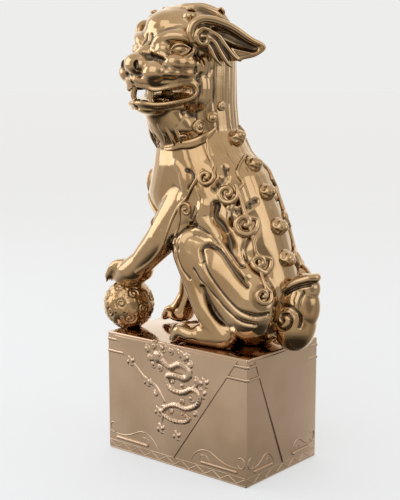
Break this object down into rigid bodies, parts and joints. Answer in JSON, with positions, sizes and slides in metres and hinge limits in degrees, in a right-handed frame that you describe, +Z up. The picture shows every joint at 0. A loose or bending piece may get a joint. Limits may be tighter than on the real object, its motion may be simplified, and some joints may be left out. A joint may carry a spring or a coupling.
{
  "type": "foo dog statue",
  "caption": "Seated guardian lion on a tall rectangular plinth, head turned to its left, one front paw on a brocade ball, in lustre-glazed ceramic.",
  "frame": {"origin": "centre of the plinth's underside", "axes": "+Z up; the lion's body faces -X along the plinth's length, its left side is -Y and its head is turned towards -Y"},
  "size_m": [0.2533, 0.1523, 0.4718],
  "materials": {
    "gold_lustre": "high-gloss metallic gold lustre over fired glaze",
    "satin_glaze": "satin metallic bronze-pink lustre over fired glaze"
  },
  "bodies": {
    "root": {"plinth_shell": "satin_glaze", "dragon_relief_left": "satin_glaze", "dragon_relief_right": "satin_glaze", "torso_shell": "gold_lustre", "head_shell": "gold_lustre", "left_ear": "gold_lustre", "right_ear": "gold_lustre", "left_eye": "gold_lustre", "right_eye": "gold_lustre", "canine_teeth": "gold_lustre", "crown_curls": "gold_lustre", "beard_curls": "gold_lustre", "neck_collar": "gold_lustre", "chest_bell": "gold_lustre", "left_front_leg": "gold_lustre", "right_front_leg": "gold_lustre", "left_hind_leg": "gold_lustre", "right_hind_leg": "gold_lustre", "brocade_ball": "gold_lustre", "tail_scroll": "gold_lustre", "spine_stud_1": "gold_lustre", "spine_stud_2": "gold_lustre", "spine_stud_3": "gold_lustre", "spine_stud_4": "gold_lustre", "spine_stud_5": "gold_lustre", "left_shoulder_curl": "gold_lustre", "right_shoulder_curl": "gold_lustre", "left_mane_curl_1": "gold_lustre", "left_mane_curl_2": "gold_lustre", "left_mane_curl_3": "gold_lustre", "left_mane_curl_4": "gold_lustre", "left_mane_curl_5": "gold_lustre", "right_mane_curl_1": "gold_lustre", "right_mane_curl_2": "gold_lustre", "right_mane_curl_3": "gold_lustre", "right_mane_curl_4": "gold_lustre", "right_mane_curl_5": "gold_lustre"}
  },
  "joints": []
}
